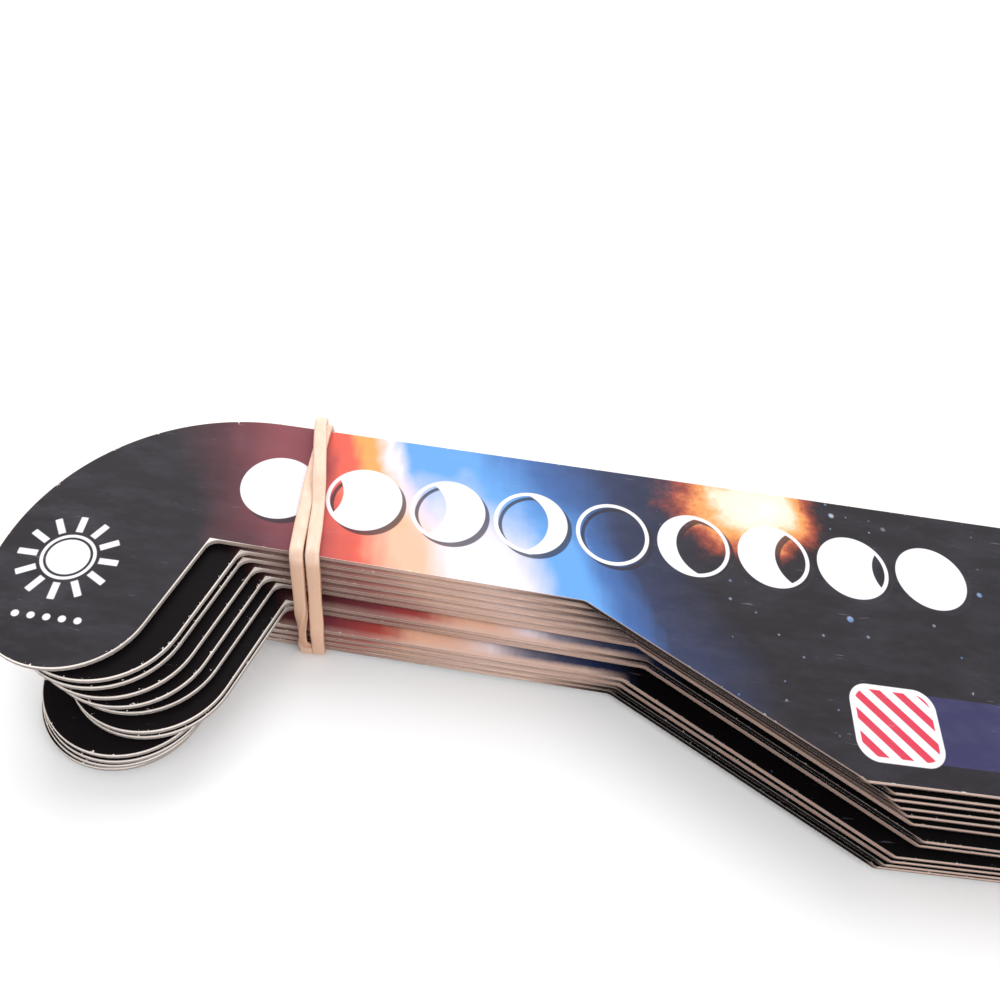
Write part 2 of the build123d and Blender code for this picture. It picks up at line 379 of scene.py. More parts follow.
class BundleSettings(bpy.types.PropertyGroup):
    """Every size and colour that a user would change."""

    card: PointerProperty(type=CardLook)
    glow: PointerProperty(type=GlowLook)
    motif: PointerProperty(type=MotifLook)
    film: PointerProperty(type=FilmLook)
    band: PointerProperty(type=BandLook)
    stage: PointerProperty(type=StageLook)


# Printed card: places and sizes in the card's millimetres

GLOW_START = -20.0
GLOW_SPAN = 110.0
GLOW_LEAN = 0.42
GLOW_WANDER = 9.0
GLOW_CURTAIN = 2.0
WARM_LINE = -9.5
WARM_SOFT = 8.5
WARM_DRIFT = 12.0
# From the eighth card down, each card's lower bands of glow sit this much nearer to the hook.
PRINT_SLIP = 1.0
SLIP_AFTER = 7
FLARE_PLACE = (62.5, -2.6)
FLARE_RADIUS = 8.0
FLARE_RAGGED = 5.5
STARS_FROM_U = 50.0
PRINT_SOFT = 0.12
RING_SOFT = 0.1
BITE_STEP = 0.52
PHASE_RING = 0.22
SHADOW_SHIFT = 0.55
SHADOW_INK = (0.012, 0.010, 0.014)
SUN_PLACE = (-13.2, -21.6)
SUN_RAYS = 12
RAY_HALF = 0.34
SUN_RING = 0.16
DOT_START = -2.6
DOT_PITCH = 1.5
DOT_COUNT = 5
DOT_DROP = 7.0
DOT_RADIUS = 0.36
BADGE_PLACE = (73.6, -28.4)
BADGE_HALF = (4.7, 4.3)
BADGE_CORNER = 2.2
BADGE_BORDER = 0.55
STRIPE_PITCH = 2.6
PANEL_HALF = (10.0, 3.8)
PANEL_SHIFT = 12.7
PANEL_CORNER = 1.6
WINDOW_CENTRE = (152.3, -21.5)
WINDOW_HALF = (18.0, 14.0)
WINDOW_CORNER = 9.0
WINDOW_LINE = 1.5
# Where the ear hook ends, the slanted cut starts and the base starts, in u
HOOK_END = 2.0
SLANT_START = 35.0
BASE_START = 69.0
# Added to a distance where its own edge doesn't run, so that another edge is nearer there
FAR_OFF = 9.0
# How far apart in w each card reads its wear, so that no two cards are worn alike
WEAR_APART = 7.3
# How much painted shade darkens each card's slanted cut, from the top card down
SLANT_SHADE_SHARES = (0.9, 1.0, 0.85, 0.8, 0.6, 0.0, 1.0, 0.0, 0.0, 0.1, 1.0, 1.0)
FACE_DEPTH = 0.012
# Pale scuffs, and the even haze of painted sheen on the top card
SCUFF_AND_SHEEN = tint(188, 180, 200)
EDGE_MOTTLE = tint(150, 118, 106)
# Brown of the arm's edge near the hook, and painted shade of the slanted cut
EDGE_BROWN_AND_SHADE = tint(122, 91, 83)
# Painted shade on the rims and lower part of the cut edges
PAINTED_EDGE_SHADE = tint(50, 38, 36)
# Near-black painted shadow on the slanted cut
PAINTED_SLANT_SHADOW = tint(16, 12, 13)


class CardShade(Shade):
    """The shade of one pair's board. Its place is the object place less the card's origin, turned back by
    the card's turn, in millimetres; u is mirrored about the front's middle, so both temples match."""

    def __init__(self, pair):
        super().__init__(f"printed_card_{pair}")
        card = CardFrame(pair)
        self.number = int(pair)
        # 1 on the top card only: its face is worn by handling and has a painted sheen, while the cards
        #                         under it get painted shade instead.
        self.worn_lit_top = 1.0 if pair == PAIRS[0] else 0.0
        self.place = self.node(
            "ShaderNodeMapping", {"vector_type": "TEXTURE"},
            {
                "Vector": self.object_place(), "Location": card.origin, "Rotation": (0, 0, card.turn),
                "Scale": (MM, MM, MM),
            },
        )["Vector"]
        u_full, self.v, self.w = self.split(self.place)
        self.u = FRONT_MIDDLE_U - abs(u_full - FRONT_MIDDLE_U)
        apart = (0, 0, WEAR_APART * self.number)
        self.own = self.node("ShaderNodeVectorMath", {"operation": "ADD"}, [self.place, apart])["Vector"]
        # Masks: 1 at the ear hook, everywhere before the base, and along the slanted cut
        self.hooked = self.u.below(HOOK_END, 6.0)
        self.before_base = self.u.below(BASE_START, 1.5)
        self.slanted = self.u.above(SLANT_START, 9.0) * self.before_base

    def streaks(self, scale, turn, detail, roughness=0.55):
        """Noise on the card's own place, scaled unevenly and turned, so that it draws out into streaks."""
        return self.noise(self.stretched(self.own, scale, turn), 1.0, detail, roughness)

    def past_box(self, x, y, half, corner):
        """How far a place is outside a box with round corners: the length of what |x| and |y| pass the
        corners' middles by, less the corner radius."""
        over_x = (abs(x) - (half[0] - corner)).most(0)
        over_y = (abs(y) - (half[1] - corner)).most(0)
        return self.length(over_x, over_y) - corner


def toned(low, high, share):
    """One plain colour between two: low plus the share of high less low, channel by channel."""
    return tuple(a + (b - a) * share for a, b in zip(low, high))


def glow_colour(shade, look):
    """Bands of colour along q, which is u plus v times the lean plus noise, as a share of the glow's span.
    Where v plus noise less 3 q is under the warm line, the bands come from a warmer row. On the cards under
    the top one, that row is darker, as painted shade of the card above."""
    wander = shade.noise(shade.place, 0.055, detail=4.0, roughness=0.6, distortion=0.6) - 0.5
    curtain = shade.noise(shade.stretched(shade.place, (0.55, 0.05, 0.1), turn=0.5), 1.0, detail=2.0) - 0.5
    leant = shade.u + shade.v * GLOW_LEAN
    q = (leant + wander * GLOW_WANDER + curtain * GLOW_CURTAIN - GLOW_START) / GLOW_SPAN

    def bands(share, stops):
        """A ramp whose stops are given in millimetres: each less the start, over the span."""
        return shade.ramp(share, [((stop - GLOW_START) / GLOW_SPAN, colour) for stop, colour in stops])

    dusk = toned(look.ink, look.plum, 0.3)
    upper = bands(q, [
        (-9, look.ink), (-3, dusk), (3, look.plum), (7, look.plum), (9, look.coral), (11, look.coral),
        (12.5, look.amber), (14, look.amber), (16, look.pale), (18.5, look.sky), (28, look.sky),
        (34, look.blue), (42, look.slate), (56, look.ink),
    ])
    if shade.worn_lit_top:
        coral = look.coral
        tail = [
            (19, look.pale), (26, look.pale), (31, look.sky), (34, look.sky), (37, look.blue),
            (41, look.slate), (50, look.ink),
        ]
    else:
        # Cards under the top one: duller coral, and a tail that turns to slate and near black sooner, as
        # painted shade of the card above
        coral = toned(look.coral, look.plum, 0.55)
        fading = [(stop, toned(look.slate, look.pale, share))
                  for stop, share in ((23.5, 0.34), (26, 0.16), (28.5, 0.05))]
        tail = [(20.5, look.pale), *fading, (32, look.slate), (37, toned((0, 0, 0), look.ink, 0.4))]
    slip = PRINT_SLIP * max(shade.number - SLIP_AFTER, 0)
    lower = bands(q + slip / GLOW_SPAN, [
        (-8, look.ink), (-3, dusk), (3, look.plum), (8.5, coral), (12, look.peach), (15, look.peach), *tail,
    ])
    drift = shade.noise(shade.place, 0.09, detail=3.0) - 0.5
    return shade.blend((shade.v + drift * WARM_DRIFT - q * 3.0).below(WARM_LINE, WARM_SOFT), upper, lower)


def flare_colour(shade, ground):
    """A soft warm blot on the brow edge, cream inside, then amber, then red, fading into the ground. Its
    share is the distance from its middle, x counting 0.85, plus ragged noise, over its radius, plus
    0.035 times x."""
    ragged = (shade.noise(shade.place, 0.30, detail=5.0, roughness=0.65) - 0.5) * FLARE_RAGGED
    x, y = shade.u - FLARE_PLACE[0], shade.v - FLARE_PLACE[1]
    share = (shade.length(x * 0.85, y) + ragged) / FLARE_RADIUS + x * 0.035
    heat = shade.ramp(share, [
        (0.0, tint(252, 238, 224)), (0.38, tint(250, 222, 196)), (0.58, tint(238, 158, 90)),
        (0.78, tint(190, 84, 52)), (1.0, tint(84, 34, 30)),
    ])
    return shade.blend(share.below(0.84, 0.42), ground, heat)


def phase_mask(shade, motif, shift=0.0):
    """A row of discs, each bitten by a disc of its size that moves on by about half a radius a step. A
    place goes to the disc whose number is its u past the first disc over the pitch, rounded."""
    radius, pitch = motif.disc_radius / MM, motif.disc_pitch / MM
    start, drop = motif.disc_start / MM, motif.disc_drop / MM
    middle = (motif.disc_count - 1) / 2
    row = (shade.u - (start + shift)) / pitch
    step = (row + 0.5).math("FLOOR").most(0).least(motif.disc_count - 1)
    x = (row - step) * pitch
    y = shade.v + (drop + shift)
    bite = x - (step - middle) * (radius * BITE_STEP)
    disc = shade.length(x, y)
    filled = disc.below(radius, PRINT_SOFT) * shade.length(bite, y).above(radius, PRINT_SOFT)
    ring = abs(disc - (radius - PHASE_RING)).below(PHASE_RING, RING_SOFT)
    return filled.most(ring)


def sun_mask(shade, motif):
    """A disc, a ring, rays where the distance from the nearest spoke is small, and a row of dots below.
    That distance is the reach times the sine of the angle to the spoke."""
    radius = motif.sun_radius / MM
    x, y = shade.u - SUN_PLACE[0], shade.v - SUN_PLACE[1]
    reach = shade.length(x, y)
    spoke = 2 * math.pi / SUN_RAYS
    angle = y.math("ARCTAN2", x) / spoke
    off_spoke = (angle - (angle + 0.5).math("FLOOR")) * spoke
    aside = abs(reach * off_spoke.math("SINE"))
    between = reach.above(radius * 0.62, PRINT_SOFT) * reach.below(radius, PRINT_SOFT)
    rays = aside.below(RAY_HALF, PRINT_SOFT) * between
    disc = reach.below(radius * 0.42, PRINT_SOFT)
    ring = abs(reach - radius * 0.51).below(SUN_RING, RING_SOFT)
    row = (x - DOT_START) / DOT_PITCH
    step = (row + 0.5).math("FLOOR").most(0).least(DOT_COUNT - 1)
    dots = shade.length((row - step) * DOT_PITCH, y + DOT_DROP).below(DOT_RADIUS, PRINT_SOFT)
    return rays.most(disc).most(ring).most(dots)


def badge_colour(shade, motif, white, ground):
    """A round-cornered badge with a white border, and a bare dark panel beside it. Its stripes are the
    upper half of the fraction of x plus y over the stripes' pitch."""
    x, y = shade.u - BADGE_PLACE[0], shade.v - BADGE_PLACE[1]
    inner = (BADGE_HALF[0] - BADGE_BORDER, BADGE_HALF[1] - BADGE_BORDER)
    panel = shade.past_box(x - PANEL_SHIFT, y, PANEL_HALF, PANEL_CORNER).below(0, PRINT_SOFT)
    badge = shade.past_box(x, y, BADGE_HALF, BADGE_CORNER).below(0, PRINT_SOFT)
    inside = shade.past_box(x, y, inner, BADGE_CORNER - 0.5).below(0, PRINT_SOFT)
    slant = ((x + y) / STRIPE_PITCH).math("FRACT")
    stripes = shade.blend(slant.above(0.5, 0.08), white, motif.red)
    return shade.blend(
        badge, shade.blend(panel, ground, motif.navy), shade.blend(inside, white, stripes)
    )


def window_trim(shade, glow, ground):
    """A halo round the lens opening, by the distance outside it: blue that fades over some millimetres,
    and a thin pale line."""
    x, y = shade.u - WINDOW_CENTRE[0], shade.v - WINDOW_CENTRE[1]
    outside = shade.past_box(x, y, WINDOW_HALF, WINDOW_CORNER)
    colour = shade.blend(outside.below(2.0, 7.0) * 0.8, ground, glow.slate)
    colour = shade.blend(outside.below(0.6, 3.0) * 0.6, colour, glow.blue)
    return shade.blend(abs(outside - WINDOW_LINE).below(0.16, RING_SOFT) * 0.8, colour, glow.pale)


def star_mask(shade, cell, threshold, size):
    """One speck in each cell of the given width whose random number is over the threshold. Its radius is
    the size times the sum of 0.4 and a second random number."""
    specks = shade.node(
        "ShaderNodeTexVoronoi", {"voronoi_dimensions": "2D", "feature": "F1"},
        {"Vector": shade.place, "Scale": 1 / cell, "Randomness": 1.0},
    )
    chance, twinkle, _ = shade.split(specks["Color"])
    radius = twinkle * (size / cell) + 0.4 * size / cell
    return (radius - specks["Distance"]).above(0.0, 0.8 * size / cell) * chance.above(threshold, 0.02)


def printed_face(shade, look, glow, motif):
    """The print from its ground up, each layer mixed over the last by its own mask: glow, warm blot,
    stars, window halo, badge, discs over their shadow, and sun."""
    ink = flare_colour(shade, glow_colour(shade, glow))
    stars = (star_mask(shade, 2.6, 0.80, 0.13) * 0.55).most(star_mask(shade, 8.0, 0.62, 0.26))
    star_tint = shade.ramp(shade.noise(shade.place, 0.21), [
        (0.4, tint(110, 150, 205)), (0.55, tint(190, 196, 210)), (0.7, tint(150, 130, 150)),
    ])
    star_share = shade.u.above(STARS_FROM_U, 8.0) * (0.25 + 0.5 * shade.worn_lit_top)
    ink = shade.blend(stars * star_share, ink, star_tint)
    ink = badge_colour(shade, motif, look.white_ink, window_trim(shade, glow, ink))
    ink = shade.blend(phase_mask(shade, motif, SHADOW_SHIFT) * 0.85, ink, SHADOW_INK)
    ink = shade.blend(phase_mask(shade, motif), ink, look.white_ink)
    return shade.blend(sun_mask(shade, motif), ink, look.white_ink)


def edge_distance(shade):
    """The distance from the temple's cut outline, in millimetres: the least over its straight sides,
    each clamped to its own ends, and over the hook's two arcs, each where its own edge runs."""
    u, v = shade.u, shade.v

    def from_side(a, b):
        """The length from a place to the nearest point of the side, at a clamped share of its run."""
        along_x, along_y = b[0] - a[0], b[1] - a[1]
        x, y = u - a[0], v - a[1]
        share = (x * along_x + y * along_y) / (along_x**2 + along_y**2)
        share = share.math("ADD", 0, clamp=True)
        return shade.length(x - share * along_x, y - share * along_y)

    def from_arc(centre, radius, kept):
        """The length to the arc's centre less its radius, and far off where the arc isn't kept."""
        return abs(shade.length(u - centre[0], v - centre[1]) - radius) + (1 - kept) * FAR_OFF

    corners = TEMPLE_CORNERS
    sides = [from_side(a, b) for a, b in zip(corners, corners[1:])]
    before_sweep = u.below(SWEEP_CENTRE[0], 0.1)
    sides.append(abs(v) + before_sweep * FAR_OFF)
    # The two arcs meet on the line through their centres; the lobe ends at the hook's inner side.
    x, y = u - LOBE_CENTRE[0], v - LOBE_CENTRE[1]
    above_join = (y - x * JOIN_SLOPE).above(0.0, 0.1)
    lobe_end = (x * JOIN_SLOPE).least(x * INNER_SLOPE)
    sides.append(from_arc(SWEEP_CENTRE, HOOK_RADIUS, above_join * before_sweep))
    sides.append(from_arc(LOBE_CENTRE, LOBE_RADIUS, (y - lobe_end).below(0.0, 0.1)))
    nearest = sides[0]
    for side in sides[1:]:
        nearest = nearest.least(side)
    # Past both sides of the hook corner there is only its fillet, which is all rim.
    under_arm = -(v + u * ARM_TAPER + ARM_TIP_HEIGHT)
    inside_hook = u * INNER_ACROSS[0] - (v + ARM_TIP_HEIGHT) * INNER_ACROSS[1]
    fillet = under_arm.least(inside_hook).above(0.0, 0.05) * u.below(3.0, 0.1)
    return nearest * (1 - fillet)


def worn_face(shade, look, ink, smears, crease):
    """Marks of handling, each mixed over the print by its own mask: cloudy smears on the top card, with an
    even pale haze over that card which is painted sheen, short scratches where streaks of two directions
    are high, cracks where wear is high at the crease, a pale rim that widens into nicks where wear is high,
    and ink rubbed off the lower cards near the arm's lower side."""
    u, worn_lit_top, hooked = shade.u, shade.worn_lit_top, shade.hooked
    wear = shade.noise(shade.own, 1.3, detail=5.0, roughness=0.75)
    scratches = shade.streaks((0.30, 4.0, 1.0), 0.6, 2.0).most(shade.streaks((0.35, 4.6, 1.0), 2.2, 2.0))
    scratches = scratches.above(0.74, 0.05) * smears.above(0.52, 0.1)
    cloudy = smears.above(0.56, 0.3) * (u.below(-8.0, 10.0) * 0.02 + 0.03)
    # Scuffs and scratches, and on the top card an even pale haze that is painted sheen
    ink = shade.blend((cloudy + 0.029) * worn_lit_top + scratches * (0.10 + 0.14 * worn_lit_top), ink, SCUFF_AND_SHEEN)
    ink = shade.blend(crease * wear.above(0.48, 0.2) * 0.5, ink, look.back)

    rim = edge_distance(shade)
    excess = (wear - 0.60).most(0)
    nicks = excess * 2.4 + hooked * excess * 2.0
    bare = (rim - nicks - hooked * 0.055).below(0.03, 0.05)
    ink = shade.blend(bare * (hooked * 0.15 + 0.8 - shade.slanted * 0.35), ink, look.hook_edge)

    on_arm = u.above(1.0, 3.0) * u.below(39.0, 5.0) * shade.v.below(-10.0, 1.0)
    narrow = (rim - wear * 0.4).below(0.40, 0.6) * (u.above(16.0, 9.0) * 0.62 + 0.25)
    wide = rim.below(2.6, 4.0) * u.above(18.0, 8.0) * u.below(26.0, 8.0) * 0.5
    return shade.blend(narrow.most(wide) * on_arm * (1 - worn_lit_top), ink, look.raw_edge)


def cut_edge(shade, look, layers):
    """The board's raw edge: paler at the hook and mottled by its layers, and browner along the arm near the
    hook. Painted shade darkens the slant, both rims of the cut, where w is near either face, and the cut's
    lower part at the hook and along the slant, where w is under a limit; on the slant it comes to near
    black."""
    u, w, hooked, slanted = shade.u, shade.w, shade.hooked, shade.slanted
    slant_shade_share = SLANT_SHADE_SHARES[shade.number - 1]
    patches = shade.noise(shade.own, 0.30, detail=3.0)
    mottle = (layers.above(0.5, 0.5) * 0.45 + patches * 0.25) * (1 - hooked * 0.6)
    raw = shade.blend(mottle, shade.blend(hooked, look.raw_edge, look.hook_edge), EDGE_MOTTLE)
    # Browner along the arm near the hook, and painted shade on the slanted cut
    brown_and_shade = (u.below(19.0, 14.0) * (1 - hooked)).most(slanted) * 0.66
    raw = shade.blend(brown_and_shade * (1 - slanted * (0.45 - 0.45 * slant_shade_share)), raw, EDGE_BROWN_AND_SHADE)

    # Painted shade: dark lines on both rims of each cut edge, where the sheets meet
    rims = (abs(w + BOARD * 0.5) + u.below(17.0, 8.0) * 0.05).above(BOARD * 0.42, 0.06) * (1 - hooked)
    # Painted shade on the cut's lower part at the hook and along the slant
    lower_cut_shade = (w + patches * 0.14 - shade.before_base * 0.23).below(-0.36, 0.12)
    lower_cut_shade = lower_cut_shade * (hooked * 0.8 + u.above(38.0, 8.0) * (1 - slanted * (0.75 - 0.75 * slant_shade_share)))
    raw = shade.blend(rims.most(lower_cut_shade) * 0.85, raw, PAINTED_EDGE_SHADE)
    # Near-black painted shadow on the slant; on the top card it stops short of the printed face.
    black = (w + patches * 0.1).below(0.1 - 0.23 * shade.worn_lit_top, 0.12)
    return shade.blend(slanted * black * (0.95 * slant_shade_share), raw, PAINTED_SLANT_SHADOW)


def printed_card(pair, look, glow, motif):
    """A printed board. Its depth w puts a place on the printed face, the bare back, the liner behind it
    or the cut edge, whose colour it takes."""
    shade = CardShade(pair)
    w, worn_lit_top = shade.w, shade.worn_lit_top
    fibre = shade.noise(shade.own, 5.0, detail=4.0, roughness=0.7)
    smears = shade.streaks((0.16, 0.42, 1.0), 0.5, 7.0, 0.68)
    layers = shade.streaks((0.5, 0.5, 9.0), 0.0, 4.0, 0.7)
    crease = abs(shade.u - LEFT_CREASE_U).below(0.16, 0.1)
    ink = worn_face(shade, look, printed_face(shade, look, glow, motif), smears, crease)
    paper = shade.blend(fibre.above(0.5, 0.6) * 0.3, look.back, tint(180, 176, 172))
    liner = shade.blend(fibre.above(0.5, 0.6) * 0.3, look.liner, tint(184, 180, 174))

    on_face = w.above(-FACE_DEPTH, 0.006)
    colour = shade.blend(on_face, cut_edge(shade, look, layers), ink)
    colour = shade.blend(w.below(-BOARD + FACE_DEPTH, 0.006), colour, paper)
    colour = shade.blend(w.below(-BOARD - FILM / 2, 0.01), colour, liner)
    face_gloss = smears * 0.12 + (look.gloss - 0.06 + 0.16 * worn_lit_top)
    height = fibre * 0.5 + layers * (1 - on_face) - crease * 3.0
    return shade.finish(
        Base_Color=colour, Roughness=on_face * face_gloss + (1 - on_face) * 0.88,
        Normal=shade.bump(height, 0.00003, 0.5), Specular_IOR_Level=0.04 + 0.13 * worn_lit_top,
    )


def liner_card(look):
    """Plain uncoated card: short fibres from noise stretched one way, and faint mottling."""
    shade = Shade("liner_card")
    place = shade.object_place()
    fibre = shade.noise(shade.stretched(place, (3000, 900, 3000), turn=0.4), 1.0, detail=5.0, roughness=0.7)
    mottle = shade.noise(place, 160.0, detail=3.0)
    colour = shade.blend(fibre.above(0.5, 0.5) * 0.25, look.liner, (0.47, 0.45, 0.42))
    colour = shade.blend(mottle.above(0.5, 0.5) * 0.15, colour, (0.55, 0.51, 0.46))
    return shade.finish(
        Base_Color=colour, Roughness=fibre * 0.1 + 0.82, Normal=shade.bump(fibre, 0.00003, 0.6)
    )


def filter_film(look):
    """Near-black film: long shallow ripples from stretched noise, and dust where fine noise is high."""
    shade = Shade("filter_film")
    place = shade.object_place()
    ripples = shade.noise(shade.stretched(place, (60, 170, 60), turn=0.3), 1.0, detail=1.5)
    dust = shade.noise(place, 2600.0, detail=2.0).above(0.72, 0.03)
    return shade.finish(
        Base_Color=shade.blend(dust * 0.4, look.colour, (0.12, 0.12, 0.13)),
        Roughness=dust * 0.4 + look.roughness, Normal=shade.bump(ripples, 0.0004, 0.3),
        Specular_IOR_Level=0.22,
    )


def dress(node_name, material):
    """Gives a solid its material in place of the plain one."""
    slots = frame["nodes"][node_name].data.materials
    slots.clear()
    slots.append(material)


class DressPrintedCards(bpy.types.Operator):
    """Print, raw edges and backs of every board"""

    bl_idname = "eclipse_glasses.dress_printed_cards"
    bl_label = "Printed cards"

    def execute(self, context):
        chosen = settings(context)
        for pair in PAIRS:
            material = printed_card(pair, chosen.card, chosen.glow, chosen.motif)
            for name in frame["nodes"]:
                if name.startswith(f"pair_{pair}_") and name.endswith(("temple", "board", "plies")):
                    dress(name, material)
        return {"FINISHED"}


class DressLiners(bpy.types.Operator):
    """Plain liner card of the outermost pairs"""

    bl_idname = "eclipse_glasses.dress_liners"
    bl_label = "Liner cards"

    def execute(self, context):
        material = liner_card(settings(context).card)
        for name in frame["nodes"]:
            if name.endswith("liner"):
                dress(name, material)
        return {"FINISHED"}


class DressFilms(bpy.types.Operator):
    """Dark filter films of every lens"""

    bl_idname = "eclipse_glasses.dress_films"
    bl_label = "Filter films"

    def execute(self, context):
        material = filter_film(settings(context).film)
        for name in frame["nodes"]:
            if name.endswith(("film", "films")):
                dress(name, material)
        return {"FINISHED"}


# Rubber band: sizes in millimetres

# The ring that the band goes round is the arms' section at this place along the top card.
BAND_U = 8.8
BAND_GAP = 0.03
LEVEL_WITHIN = 0.05
CORNER_POINTS = 9
TURN_STATIONS = 420
SECTION_STATIONS = 20
SECTION_POWER = 4
# How many stations on either side the band's corners, route, twist and crossing are smoothed over
CORNER_EASE = 2
ROUTE_EASE = 10
TWIST_EASE = 6
LIFT_EASE = 12
# The turns cross in full where they are nearer than this share of the band's width.
CROSSING = 0.55
SWELL = 0.05
# Height in metres under which the rubber is on the stack's sides, where it gets painted shade
SIDE_TOP = 0.0124
# Where the band's middle line runs along the card, in millimetres, against the turns made from the
# top card's front edge: down the front, under the bundle, up behind it and back over the top.
STRAND_PLACES = (
    (0.00, 9.20), (0.06, 9.75), (0.13, 10.45), (0.21, 10.95), (0.36, 10.25), (0.50, 9.05), (0.60, 8.10),
    (0.69, 8.20), (0.73, 8.50), (0.82, 9.50), (0.90, 10.35), (1.00, 10.90), (1.06, 11.45), (1.15, 12.15),
    (1.21, 12.35), (1.36, 11.85), (1.50, 11.05), (1.60, 10.30), (1.69, 9.30), (1.73, 9.00), (1.82, 8.90),
    (1.90, 8.95), (2.00, 9.20),
)
# How far the flat strand is turned about its own line, in degrees, against the same turns.
STRAND_TWISTS = (
    (0.00, 0), (0.08, -8), (0.115, -20), (0.14, -70), (0.172, -80), (0.185, -20), (0.195, 0), (0.90, 0),
    (0.94, 8), (0.99, 5), (1.05, 0), (1.12, 10), (1.17, 0), (2.00, 0),
)


def stack_ring():
    """The convex ring round every arm's section under the band, as points (y, z).

    It starts at the top card's front edge and runs down the front, under the stack and up behind."""
    corners = []
    for pair in PAIRS:
        card = CardFrame(pair)
        u = (TOP_CARD.point(BAND_U, 0).x - card.origin.x) / MM
        for v in (0, -(ARM_TIP_HEIGHT + ARM_TAPER * u)):
            for w in (0, -BOARD):
                point = card.point(u, v, w)
                corners.append((point.y, point.z))
    ring = [corners[k] for k in convex_hull_2d(corners)]
    doubled_area = sum(a[0] * b[1] - a[1] * b[0] for a, b in zip(ring, ring[1:] + ring[:1]))
    if doubled_area < 0:
        ring.reverse()
    top = max(z for _, z in ring)
    level = [k for k, point in enumerate(ring) if point[1] > top - LEVEL_WITHIN * MM]
    start = min(level, key=lambda k: ring[k][0])
    return ring[start:] + ring[:start]


def pushed_ring(ring, reach):
    """The ring's sides pushed out by a reach and joined by arcs, at even steps: points and outward
    directions of one turn, in metres."""
    points, normals = [], []
    count = len(ring)
    for k in range(count):
        before, corner, after = (np.array(ring[(k + shift) % count]) for shift in (-1, 0, 1))
        sides = np.stack([corner - before, after - corner])
        angles = np.unwrap(np.arctan2(-sides[:, 0], sides[:, 1]))
        fan = np.linspace(angles[0], angles[1], CORNER_POINTS)
        spread = np.stack([np.cos(fan), np.sin(fan)], 1)
        points.append(corner + spread * reach)
        normals.append(spread)
    points, normals = np.concatenate(points), np.concatenate(normals)
    points, normals = np.concatenate([points, points[:1]]), np.concatenate([normals, normals[:1]])
    run = np.concatenate(([0], np.cumsum(np.hypot(*np.diff(points, axis=0).T))))
    places = np.linspace(0, run[-1], TURN_STATIONS, endpoint=False)
    line = np.stack([np.interp(places, run, points[:, axis]) for axis in (0, 1)], 1)
    out = np.stack([np.interp(places, run, normals[:, axis]) for axis in (0, 1)], 1)
    return line, out / np.linalg.norm(out, axis=1, keepdims=True)


def smooth_share(value, low, high):
    """0 below low, 1 above high, and between them t squared times 3 less 2 t, t being the clamped share
    of the way."""
    t = np.clip((value - low) / (high - low), 0, 1)
    return t * t * (3 - 2 * t)


def softened(values, reach):
    """A closed row of values, each replaced by the mean of its neighbours within a reach, weighted by
    the square of a cosine that ends at nought."""
    steps = np.arange(-reach, reach + 1)
    weights = np.cos(steps / (reach + 1) * np.pi / 2) ** 2
    weights /= weights.sum()
    return sum(weight * np.roll(values, step, 0) for weight, step in zip(weights, steps))


def from_table(table, turns):
    """The table's value at each turn, straight between its rows and repeating after two turns."""
    places, values = np.array(table).T
    return np.interp(turns, places, values, period=2.0)


def flat_section(width, thickness):
    """A rounded bar section, as (aside, out) from its middle: a superellipse, whose sides are the cosine
    and sine to the power of two over its own power, times half the width and thickness."""
    angle = np.linspace(0, 2 * np.pi, SECTION_STATIONS, endpoint=False)
    cosine, sine = np.cos(angle), np.sin(angle)
    aside = np.sign(cosine) * np.abs(cosine) ** (2 / SECTION_POWER) * width / 2
    out = np.sign(sine) * np.abs(sine) ** (2 / SECTION_POWER) * thickness / 2
    return aside, out


def band_rings(look):
    """Two turns of a flat section along a closed line. The line keeps half a thickness off the convex
    ring; its place along the card comes from the table; and where the two turns come nearer than a
    width, the first turn is lifted by a thickness over the second. The section is turned in the plane
    across the line by the twist, and pushed out by what the twist adds to its half height."""
    ring = stack_ring()
    line, out = pushed_ring(ring, look.thickness / 2 + BAND_GAP * MM)
    line, out = np.tile(line, (2, 1)), softened(np.tile(out, (2, 1)), CORNER_EASE)
    turns = np.arange(2 * TURN_STATIONS) / TURN_STATIONS
    place = softened(from_table(STRAND_PLACES, turns), ROUTE_EASE) * MM
    apart = np.abs(place - np.roll(place, TURN_STATIONS))
    near = 1 - smooth_share(apart, look.width * CROSSING, look.width)
    lift = np.where(turns < 1, near, 0) * (look.thickness + BAND_GAP * MM)
    twist = np.radians(softened(from_table(STRAND_TWISTS, turns), TWIST_EASE))
    proud = (np.abs(np.sin(twist)) * look.width + np.cos(twist) * look.thickness - look.thickness) / 2
    rise = softened(lift, LIFT_EASE) + proud
    middle = np.stack([
        TOP_CARD.origin.x + place, line[:, 0] + out[:, 0] * rise, line[:, 1] + out[:, 1] * rise
    ], 1)
    outward = np.stack([np.zeros(len(out)), out[:, 0], out[:, 1]], 1)
    ahead = np.roll(middle, -1, 0) - np.roll(middle, 1, 0)
    ahead /= np.linalg.norm(ahead, axis=1, keepdims=True)
    aside = np.cross(ahead, outward)
    aside /= np.linalg.norm(aside, axis=1, keepdims=True)
    outward = np.cross(aside, ahead)
    # Two sines of different pace make the strand a little wider and narrower along its run.
    swell = 1 + SWELL * np.sin(turns * np.pi * 17 + 0.4) * np.sin(turns * np.pi * 5)
    flat, high = flat_section(look.width, look.thickness)
    cosine, sine = np.cos(twist)[:, None], np.sin(twist)[:, None]
    x, y = flat * cosine - high * sine, flat * sine + high * cosine
    x = x * swell[:, None]
    return middle[:, None] + aside[:, None] * x[..., None] + outward[:, None] * y[..., None]


